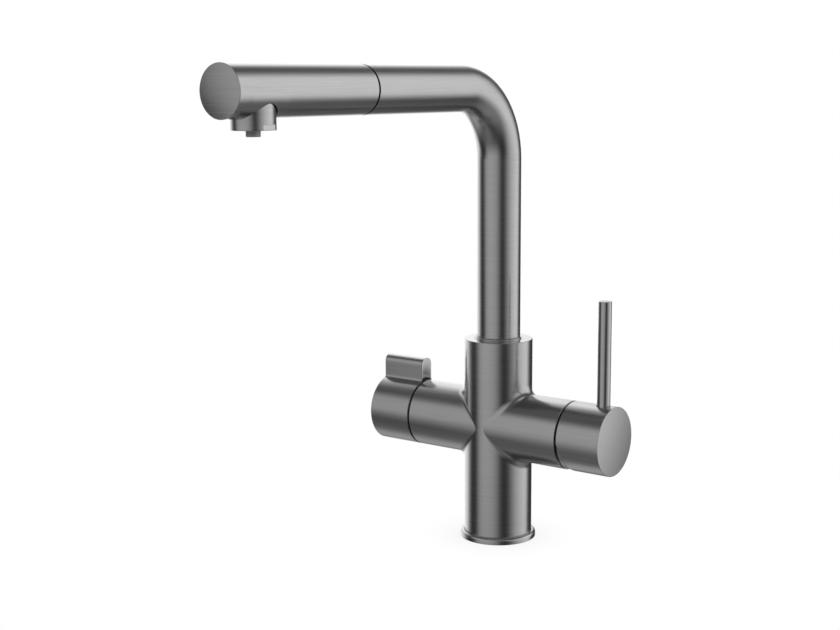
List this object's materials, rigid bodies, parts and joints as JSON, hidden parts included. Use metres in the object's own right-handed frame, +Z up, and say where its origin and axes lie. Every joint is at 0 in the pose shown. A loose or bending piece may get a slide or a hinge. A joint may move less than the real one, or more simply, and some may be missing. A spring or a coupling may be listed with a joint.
{
  "type": "kitchen mixer tap",
  "caption": "Kitchen mixer tap with an L-shaped swivel spout, a pull-out handset, a side lever for mixed water and a tab handle for filtered water.",
  "frame": {"origin": "centre of the base flange's underside, on the worktop", "axes": "+Z up, the spout points along -Y, the mixer handle is on +X and the filter handle on -X"},
  "size_m": [0.1752, 0.273, 0.3045],
  "materials": {
    "gunmetal": "brushed gunmetal",
    "brass": "machined",
    "steel": "machined",
    "acetal": "moulded",
    "black_plastic": "moulded",
    "rubber": "moulded",
    "braid": "braided nylon"
  },
  "bodies": {
    "tap_body": {"body": "gunmetal", "base_flange": "gunmetal", "base_seal": "rubber", "inlet_block": "brass", "slip_ring": "gunmetal", "upper_bearing": "acetal", "lower_bearing": "acetal", "spout_o_ring": "rubber", "swivel_screw": "steel", "cartridge_seal": "rubber", "cartridge_housing": "acetal", "cartridge_nut": "brass", "dome_shroud": "gunmetal", "headwork_seal": "rubber", "headwork_body": "brass", "glide_ring": "black_plastic"},
    "mixer_rotor": {"cartridge_rotor": "acetal", "rotor_pin": "steel"},
    "mixer_lever": {"cartridge_stem": "steel", "mixer_handle": "gunmetal", "lever_rod": "gunmetal", "lever_grub": "steel"},
    "filter_lever": {"filter_spindle": "brass", "filter_handle": "gunmetal", "filter_grub": "steel"},
    "spout": {"spout_tube": "gunmetal", "spout_foot": "brass", "docking_sleeve": "black_plastic", "riser_hose": "braid"},
    "handset": {"handset_shell": "gunmetal", "end_cap": "gunmetal", "handset_core": "black_plastic", "outlet_housing": "gunmetal", "aerator": "black_plastic", "filter_nozzle": "gunmetal", "handset_tail": "brass", "tail_o_ring": "rubber", "check_valve": "acetal", "hose_nut": "brass", "hose_ferrule": "steel", "pull_hose": "braid"}
  },
  "joints": [
    {"name": "spout_swivel", "type": "hinge", "parent": "tap_body", "child": "spout", "pos_m": [0, 0, 0.1315], "axis": [0, 0, 1], "range_deg": [-75, 75]},
    {"name": "handset_pull", "type": "slide", "parent": "spout", "child": "handset", "axis": [0, -1, 0], "range_m": [0, 0.4]},
    {"name": "mixer_turn", "type": "hinge", "parent": "tap_body", "child": "mixer_rotor", "pos_m": [0.0566, 0, 0.075], "axis": [1, 0, 0], "range_deg": [-45, 45]},
    {"name": "mixer_tilt", "type": "hinge", "parent": "mixer_rotor", "child": "mixer_lever", "pos_m": [0.0566, 0, 0.075], "axis": [0, 1, 0], "range_deg": [0, 13.5]},
    {"name": "filter_turn", "type": "hinge", "parent": "tap_body", "child": "filter_lever", "pos_m": [-0.0733, 0, 0.075], "axis": [1, 0, 0], "range_deg": [0, 90]}
  ]
}
